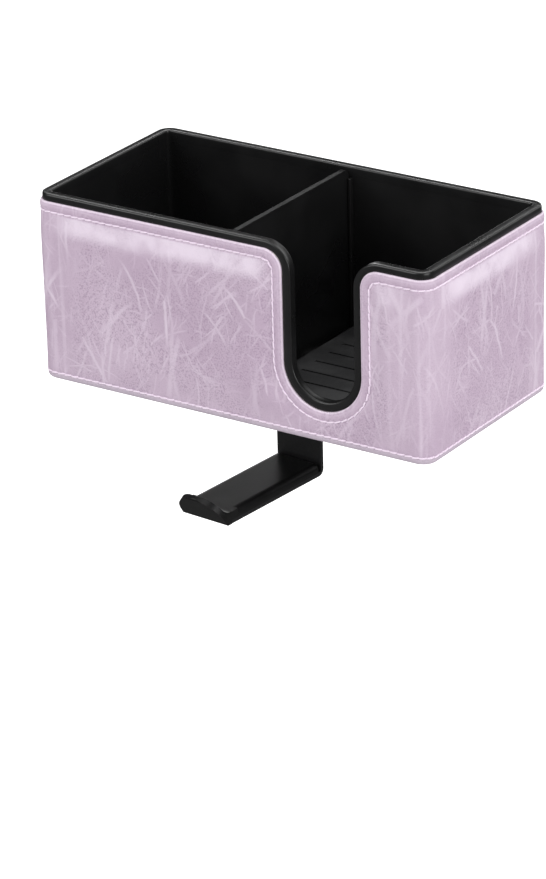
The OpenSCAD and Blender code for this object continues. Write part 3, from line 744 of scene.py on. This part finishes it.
def sheet_attribute(obj, s, v):
    """The leather's own flat coordinates, in metres, for the pattern that runs round the box."""
    flat = np.stack([s, v, np.zeros(len(s))], axis=1) * MM
    attribute = obj.data.attributes.new("sheet", "FLOAT_VECTOR", "POINT")
    attribute.data.foreach_set("vector", flat.astype(np.float32).ravel())


def shade_attribute(obj, name, values):
    attribute = obj.data.attributes.new(name, "FLOAT", "POINT")
    attribute.data.foreach_set("value", np.asarray(values, np.float32))


def stitching(name, lines):
    """Rows of separate thread stitches: each rises out of one hole and dives into the next."""
    sides, rings = 8, 9
    rng = random.Random(7)
    verts, faces = [], []
    for line in lines:
        for (s0, v0), (s1, v1) in zip(line[:-1], line[1:]):
            length = math.hypot(s1 - s0, v1 - v0)
            if length < 1e-6:
                continue
            ds, dv = (s1 - s0) / length, (v1 - v0) / length
            lean = 0.16 + rng.uniform(-0.07, 0.07)
            path = []
            for i in range(rings):
                t = i / (rings - 1)
                along = -0.02 + 1.04 * t
                side = (t - 0.5) * 2 * lean
                s = s0 + (s1 - s0) * along - dv * side
                v = v0 + (v1 - v0) * along + ds * side
                lift = math.sin(math.pi * t) ** 0.55
                path.append((s, v, lift))
            base = leather_relief(np.array([p[0] for p in path]), np.array([p[1] for p in path]))
            centres = []
            for (s, v, lift), r in zip(path, base):
                centres.append(hem_place(s, v, float(r) - 0.2 + 0.42 * lift))
            faces += tube(verts, centres, STITCH_R * MM, sides)
    obj = new_object(name, verts, faces, THREAD, "tray_and_clamp")


def tube(verts, centres, radius, sides):
    """Adds a capped tube along the centres to verts, and returns its faces."""
    base = len(verts)
    faces = []
    n = len(centres)
    for i, c in enumerate(centres):
        ahead = (centres[min(i + 1, n - 1)] - centres[max(i - 1, 0)]).normalized()
        up = Vector((0.3, 0.2, 1.0)) if abs(ahead.z) < 0.9 else Vector((1.0, 0.4, 0.1))
        a = ahead.cross(up).normalized()
        b = ahead.cross(a)
        r = radius * (0.55 if i in (0, n - 1) else 1.0)
        for k in range(sides):
            t = 2 * math.pi * k / sides
            verts.append(c + (a * math.cos(t) + b * math.sin(t)) * r)
    for i in range(n - 1):
        for k in range(sides):
            p, q = base + i * sides + k, base + i * sides + (k + 1) % sides
            faces.append((p, q, q + sides, p + sides))
    faces.append(tuple(base + k for k in reversed(range(sides))))
    faces.append(tuple(base + (n - 1) * sides + k for k in range(sides)))
    return faces


# ------------------------------------------------------------------ tray


def tray_rim():
    """The tray's rim and the lip round the notch, as one closed bead.

    Each row of the section is how far the point lies from the leather's edge, 0, to the
    tray's free edge, 1, and its distance out from the leather's face in mm.
    """
    section = [
        (-0.55, TRAY_OUT),
        (-0.05, TRAY_OUT),
        (-0.02, -2.0),
        (0.0, -1.55),
        (0.12, -1.4),
        (0.45, -1.38),
        (0.75, -1.42),
        (0.92, -1.6),
        (1.0, -1.95),
        (0.99, -2.25),
        (0.965, -2.75),
        (0.95, -3.5),
        (0.96, -4.35),
        (0.985, -4.85),
        (1.0, -5.12),
        (0.97, -5.38),
        (0.86, -5.55),
        (0.68, TRAY_IN),
        (0.5, TRAY_IN),
        (-0.3, TRAY_IN),
        (-0.36, TRAY_IN + 0.02),
        (-0.42, TRAY_IN + 0.05),
        (-0.48, TRAY_IN + 0.1),
        (-0.5, TRAY_IN + 0.5),
        (-0.55, TRAY_IN + 1.0),
    ]
    curves = {f: notch_curve(f) for f, _ in section}
    n = len(curves[0.0]) - 1
    m = len(section)
    verts, faces = [], []
    for i in range(n):
        for f, off in section:
            s, v = curves[f][i]
            verts.append(place(s, v, off))
    for i in range(n):
        for k in range(m):
            a, b = i * m + k, i * m + (k + 1) % m
            c, d = ((i + 1) % n) * m + (k + 1) % m, ((i + 1) % n) * m + k
            faces.append((a, b, c, d))
    obj = new_object("tray_rim", verts, faces, TRAY_BLACK, "tray_and_clamp")
    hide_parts("tray_shell")


def tray_wall():
    """The tray's wall below the rim, flush with it inside."""
    step = 4.0
    rows = list(np.arange(SKIRT_Z + step, TOP, step))
    flat, faces = wall_sheet(0.1, [1.5], SKIRT_Z, rows, step)
    inner, outer = TRAY_IN + 0.03, TRAY_OUT
    points = [place(s, v, (inner + outer) / 2) for s, v in flat]
    obj = new_object("tray_wall", points, faces, TRAY_BLACK, "tray_and_clamp")
    weld(obj)
    modifier(obj, "SOLIDIFY", thickness=(outer - inner) * MM, offset=0)


def tray_floor():
    """Floor pan whose edge curves up into the walls."""
    cove, overlap, margin, thick = 3.0, 0.3, 12, 2.6
    rings = [(TRAY_IN + overlap, FLOOR_Z + cove)]
    for i in range(6):
        a = math.pi / 2 * i / 5
        rings.append((TRAY_IN - cove * (1 - math.cos(a)), FLOOR_Z + cove * (1 - math.sin(a))))
    rings.append((TRAY_IN - margin, FLOOR_Z))
    rings.append((TRAY_IN - margin, FLOOR_Z - thick))
    rings.append((TRAY_IN + overlap, FLOOR_Z - thick))
    n = 240
    verts, faces = [], []
    for off, v in rings:
        for i in range(n):
            verts.append(place(LOOP * i / n - LOOP / 2, v, off))
    for j in range(len(rings)):
        k = (j + 1) % len(rings)
        for i in range(n):
            faces.append((j * n + i, j * n + (i + 1) % n, k * n + (i + 1) % n, k * n + i))
    # both flat faces run from their ring in to a short line at the floor's middle
    upper, lower = len(rings) - 3, len(rings) - 2
    for ring, flip in ((upper, False), (lower, True)):
        middle = len(verts)
        v = rings[ring][1]
        for i in range(n):
            p = place(LOOP * i / n - LOOP / 2, v, rings[ring][0])
            verts.append(Vector((CENTRE.x + (p.x - CENTRE.x) * 0.05, CENTRE.y, p.z)))
            a, b = ring * n + i, ring * n + (i + 1) % n
            c, d = middle + (i + 1) % n, middle + i
            faces.append((a, b, c, d) if flip else (d, c, b, a))
    obj = new_object("tray_floor", verts, faces, TRAY_BLACK, "tray_and_clamp")
    weld(obj)


def main_pieces():
    edge = notch_curve(-STITCH_D / LIP)
    hem = [(s, HEM_STITCH_V) for s in np.linspace(-LOOP / 2, LOOP / 2, 800)]
    top_line = stitch_points(edge, STITCH_PITCH)
    hem_line = stitch_points(hem, STITCH_PITCH)
    leather_cover(top_line + hem_line)
    stitching("top_and_hem_stitches", [top_line, hem_line])
    tray_rim()
    tray_wall()
    tray_floor()
    divider_guides()
    threaded_spindle()
    star_knob()


def divider_guides():
    """Two upright ribs at each end of the divider, with rounded tops."""
    lo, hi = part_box("divider_panel")
    inner = (hi.x - lo.x) / 2 / MM + GUIDE_SLIP
    end = HALF_D + TRAY_IN
    top = TOP - GUIDE_BELOW_TOP
    for x_side, x_name in ((-1, "left"), (1, "right")):
        for y_side, y_name in ((-1, "front"), (1, "back")):
            xs = sorted((x_side * inner, x_side * (inner + GUIDE_T)))
            ys = sorted((y_side * (end - GUIDE_DEPTH), y_side * (end + 0.4)))
            name = "divider_guide_%s_%s" % (y_name, x_name)
            obj = block(name, (xs[0], ys[0], FLOOR_Z - 0.3), (xs[1], ys[1], top), TRAY_BLACK)
            bevel(obj, 0.45, 4)


def block(name, lo, hi, material):
    """A box given in mm from the middle of the leather box's underside."""
    corners = [(x, y, z) for z in (lo[2], hi[2]) for y in (lo[1], hi[1]) for x in (lo[0], hi[0])]
    verts = [(CENTRE.x + x * MM, CENTRE.y + y * MM, BASE_Z + z * MM) for x, y, z in corners]
    faces = [(0, 2, 3, 1), (4, 5, 7, 6), (0, 1, 5, 4), (2, 6, 7, 3), (0, 4, 6, 2), (1, 3, 7, 5)]
    return new_object(name, verts, faces, material, "tray_and_clamp", shade=False)


# ------------------------------------------------------------------ clamp screw and knob

THREAD_PITCH = 3.0
THREAD_DEPTH = 1.45
KNOB_LOBES = 7
PIN_HOLE_R = 1.55
SCREW_NECK_R = 3.85  # the foot turns on this, above the thread
CLIP_GROOVE_R = 2.95
FOOT_NECK = 9.1  # length of the plain neck above the screw's shoulder
KNOB_CLEAR = 0.15  # keeps the collar off the bush when the screw is all the way in


def plain(r):
    """A round section of radius r, for lathe()."""
    return lambda a: r


def lathe(name, rows, sides, material, body, closed=False):
    """Surface through rows of (z, radius function of the angle), round the clamp's axis, in mm."""
    verts, faces = [], []
    for z, radius in rows:
        for k in range(sides):
            a = 2 * math.pi * k / sides
            r = radius(a) * MM
            verts.append((r * math.cos(a), r * math.sin(a), z * MM))
    n = len(rows)
    for j in range(n if closed else n - 1):
        for k in range(sides):
            a, b = j * sides + k, j * sides + (k + 1) % sides
            c, d = (j + 1) % n * sides + (k + 1) % sides, (j + 1) % n * sides + k
            faces.append((a, b, c, d))
    if not closed:
        faces.append(tuple(reversed(range(sides))))
        faces.append(tuple((n - 1) * sides + k for k in range(sides)))
    obj = new_object(name, verts, faces, material, body)
    weld(obj, 1e-6)
    return obj


def threaded_spindle():
    """Clamp screw with a trapezoidal thread from the knob up to the foot's shoulder."""
    lo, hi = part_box("clamp_screw")
    knob_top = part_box("clamp_knob")[1].z / MM
    bottom, top = lo.z / MM, hi.z / MM
    shoulder = top - FOOT_NECK
    crest = (hi.x - lo.x) / 2 / MM - 0.04
    start, stop = knob_top - 1.0, shoulder - 2.0

    def thread(z):
        fade = float(smooth(z, start, start + 2.5) * smooth(-z, -stop, -stop + 2.5))

        def radius(a):
            phase = (z / THREAD_PITCH - a / (2 * math.pi)) % 1.0
            cut = np.interp(phase, [0, 0.33, 0.46, 0.87, 1.0], [0, 0, 1, 1, 0])
            return crest - THREAD_DEPTH * fade * float(cut)

        return radius

    rows = [(bottom, plain(crest - 0.6)), (bottom + 0.6, plain(crest)), (start, plain(crest))]
    count = round((stop - start) / 0.16)
    for i in range(1, count):
        z = start + (stop - start) * i / count
        rows.append((z, thread(z)))
    rows += [(stop, plain(crest)), (shoulder - 0.4, plain(crest)), (shoulder, plain(crest - 0.4))]
    neck, groove = SCREW_NECK_R, CLIP_GROOVE_R
    rows += [(shoulder + 0.01, plain(neck)), (top - 1.41, plain(neck)), (top - 1.4, plain(groove))]
    rows += [(top - 0.4, plain(groove)), (top - 0.39, plain(neck)), (top - 0.1, plain(neck))]
    rows += [(top, plain(neck - 0.2))]
    obj = lathe("threaded_spindle", rows, 56, SPINDLE, "screw")
    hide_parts("clamp_screw")


def star_knob():
    """Moulded knob: rounded lobes, soft edges, a collar above and a recess for the cap below."""
    lo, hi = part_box("clamp_knob")
    bottom, collar_top = lo.z / MM, hi.z / MM - KNOB_CLEAR
    top = collar_top - 3
    knob_r = round(hi.x / MM, 2)

    def star(inset, depth=2.6):
        def radius(a):
            lobe = (0.5 + 0.5 * math.cos(KNOB_LOBES * a)) ** 0.7
            return knob_r - depth * (1 - lobe) - inset

        return radius

    rows = [(collar_top, plain(5.03)), (collar_top, plain(8.3)), (collar_top - 0.2, plain(8.8))]
    rows += [(collar_top - 0.8, plain(9.0)), (top + 0.9, plain(9.1)), (top + 0.2, plain(9.7))]
    rows += [(top, plain(10.6)), (top, star(3.4, 1.6))]
    for i in range(1, 7):
        a = math.pi / 2 * i / 6
        rows.append((top - 2.2 * (1 - math.cos(a)), star(2.2 * (1 - math.sin(a)))))
    rows += [(bottom + 4.5, star(0)), (bottom + 1.6, star(0))]
    for i in range(1, 6):
        a = math.pi / 2 * i / 5
        rows.append((bottom + 1.6 * (1 - math.sin(a)), star(1.6 * (1 - math.cos(a)))))
    rows += [(bottom, plain(10.8)), (bottom + 0.3, plain(10.1)), (bottom + 2, plain(10.0))]
    rows += [(bottom + 2, plain(5.03))]
    obj = lathe("star_knob", rows, 140, MOULDED, "screw", closed=True)
    drill_rows = [(-25, plain(PIN_HOLE_R)), (25, plain(PIN_HOLE_R))]
    drill = lathe("drill", drill_rows, 32, MOULDED, "screw")
    pin_lo, pin_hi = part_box("knob_pin")
    for v in drill.data.vertices:
        x, y, z = v.co
        v.co = (z, y, x + (pin_lo.z + pin_hi.z) / 2)
    cut = modifier(obj, "BOOLEAN", object=drill, operation="DIFFERENCE", solver="EXACT")
    graph = bpy.context.evaluated_depsgraph_get()
    carved = bpy.data.meshes.new_from_object(obj.evaluated_get(graph))
    obj.modifiers.remove(cut)
    obj.data = carved
    bpy.data.objects.remove(drill)
    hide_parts("clamp_knob")


# ------------------------------------------------------------------ CAD nodes that stay


def finish_cad():
    """Gives each CAD node that stays its material, and rounds its edges."""
    finishes = {
        TRAY_BLACK: ["divider_panel"],
        PANEL_BLACK: ["base_panel"],
        MOULDED: ["knob_cap", "swivel_hub", "hub_cap", "hook_saddle"],
        COAT: ["support_bracket", "clamp_frame", "hook_strip"],
        ZINC: [
            "shelf_screws",
            "frame_bolts",
            "frame_nuts",
            "wall_sleeves",
            "pivot_bolt",
            "pivot_nut",
            "spring_washer",
            "pressure_plate",
            "knob_pin",
            "foot_clip",
        ],
        OXIDE: ["base_screws", "strip_screws", "saddle_screws"],
        BRASS: ["shelf_inserts", "jaw_bush", "pivot_bush"],
        RUBBER: ["cup_mat", "phone_mat", "jaw_pad", "edge_pad", "pressure_pad"],
        NYLON: ["pivot_washer"],
        FOAM: ["foam_liner"],
    }
    for material, names in finishes.items():
        for name in names:
            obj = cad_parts[name]
            obj.data.materials.clear()
            obj.data.materials.append(material)
    bevels = {  # widths in mm
        "clamp_frame": 0.8,
        "support_bracket": 0.5,
        "hook_strip": 0.35,
        "hook_saddle": 0.7,
        "divider_panel": 0.6,
        "base_panel": 0.3,
        "swivel_hub": 0.8,
        "cup_mat": 0.3,
        "phone_mat": 0.3,
        "jaw_pad": 0.3,
        "edge_pad": 0.4,
        "pressure_pad": 0.4,
        "pressure_plate": 0.4,
        "jaw_bush": 0.4,
        "frame_bolts": 0.5,
        "shelf_screws": 0.4,
        "strip_screws": 0.4,
        "knob_cap": 0.4,
        "hub_cap": 0.3,
        "pivot_bolt": 0.3,
    }
    for name, width in bevels.items():
        bevel(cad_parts[name], width)


# ------------------------------------------------------------------ stage, light and camera

FLOOR_DROP = 0.17
FLOOR_HALF = 6.0
VIEW_AZ = 33.88  # degrees
VIEW_EL = 23.474
VIEW_ROLL = -1.44
VIEW_DIST = 1.9408  # metres
VIEW_SHIFT = (0.009196, 0.024788)
LENS = 184.3
WORLD_LIGHT = 0.38
WORLD_GLOSS = 0.08


def stage():
    """Pale floor: bright to the camera, dim in reflections, and clear when seen from below."""
    mesh = bpy.data.meshes.new("floor")
    z = BASE_Z - FLOOR_DROP
    corners = [(x * FLOOR_HALF, y * FLOOR_HALF, z) for x, y in ((-1, -1), (1, -1), (1, 1), (-1, 1))]
    mesh.from_pydata(corners, [], [(0, 1, 2, 3)])
    obj = bpy.data.objects.new("floor", mesh)
    bpy.context.scene.collection.objects.link(obj)
    m = Nodes("pale_floor")
    tone = m.noise(3, None, 2)
    path = m.tree.nodes.new("ShaderNodeLightPath").outputs
    pale = m.mix(tone, (0.72, 0.72, 0.72, 1), (0.75, 0.75, 0.75, 1))
    m.put(
        Base_Color=m.mix(path["Is Glossy Ray"], pale, (0.12, 0.12, 0.12, 1)),
        Roughness=0.9,
        Emission_Color=(1, 1, 1, 1),
        Emission_Strength=m.math("MULTIPLY", path["Is Camera Ray"], 0.75),
    )
    below = m.tree.nodes.new("ShaderNodeNewGeometry").outputs["Backfacing"]
    clear = m.tree.nodes.new("ShaderNodeBsdfTransparent")
    either = m.tree.nodes.new("ShaderNodeMixShader")
    m.link(below, either.inputs[0])
    m.link(m.shader.outputs[0], either.inputs[1])
    m.link(clear.outputs[0], either.inputs[2])
    m.link(either.outputs[0], m.tree.nodes["Material Output"].inputs["Surface"])
    mesh.materials.append(m.material)


def area_light(name, direction, distance, size, power, size_y=None):
    """A rectangle of light, in metres and watts, that faces the tray's middle."""
    data = bpy.data.lights.new(name, "AREA")
    data.energy = power
    data.shape = "RECTANGLE"
    data.size = size
    data.size_y = size_y or size
    obj = bpy.data.objects.new(name, data)
    bpy.context.scene.collection.objects.link(obj)
    d = Vector(direction).normalized()
    obj.location = CENTRE + d * distance
    obj.rotation_euler = d.to_track_quat("Z", "Y").to_euler()


def studio_world():
    """Even soft light, white where the camera sees it and dim where gloss reflects it."""
    world = bpy.data.worlds.new("studio")
    world.use_nodes = True
    tree = world.node_tree
    path = tree.nodes.new("ShaderNodeLightPath").outputs
    level = None
    for kind, strength in (("Is Glossy Ray", WORLD_GLOSS), ("Is Camera Ray", 1.0)):
        n = tree.nodes.new("ShaderNodeMix")
        n.inputs["A"].default_value = WORLD_LIGHT
        if level is not None:
            tree.links.new(level, n.inputs["A"])
        n.inputs["B"].default_value = strength
        tree.links.new(path[kind], n.inputs["Factor"])
        level = n.outputs["Result"]
    back = tree.nodes["Background"]
    back.inputs["Color"].default_value = (1, 1, 1, 1)
    tree.links.new(level, back.inputs["Strength"])
    bpy.context.scene.world = world


def lights():
    studio_world()
    area_light("top_softbox", (0.1, 0.15, 1), 1.3, 1.5, 11.5)
    area_light("front_left", (-0.7, -1.0, 0.75), 1.6, 1.1, 12)
    area_light("front_right", (1.25, -0.4, 0.4), 1.6, 1.0, 12)
    area_light("back_fill", (0.3, 1.2, 0.5), 1.8, 1.2, 7)
    area_light("edge_strip", (-0.55, 0.85, 0.13), 1.6, 0.7, 1.5, 0.25)


def camera():
    """Camera on the tray's front right, aimed by its azimuth, elevation and roll."""
    az, el, roll = (math.radians(a) for a in (VIEW_AZ, VIEW_EL, VIEW_ROLL))
    right = Vector((math.cos(az), math.sin(az), 0))
    back = Vector((math.sin(az) * math.cos(el), -math.cos(az) * math.cos(el), math.sin(el)))
    up = back.cross(right)
    r = math.cos(roll) * right + math.sin(roll) * up
    u = -math.sin(roll) * right + math.cos(roll) * up
    data = bpy.data.cameras.new("camera")
    data.sensor_fit = "VERTICAL"
    data.sensor_height = 36
    data.lens = LENS
    data.clip_start = 0.05
    obj = bpy.data.objects.new("camera", data)
    bpy.context.scene.collection.objects.link(obj)
    base = Vector((CENTRE.x, CENTRE.y, BASE_Z))
    place_at = base + VIEW_DIST * back - VIEW_SHIFT[0] * r - VIEW_SHIFT[1] * u
    for i in range(3):
        obj.matrix_world[i][0] = r[i]
        obj.matrix_world[i][1] = u[i]
        obj.matrix_world[i][2] = back[i]
        obj.matrix_world[i][3] = place_at[i]
    bpy.context.scene.camera = obj


main_pieces()
finish_cad()
stage()
lights()
camera()
bpy.context.scene.view_settings.view_transform = "Standard"
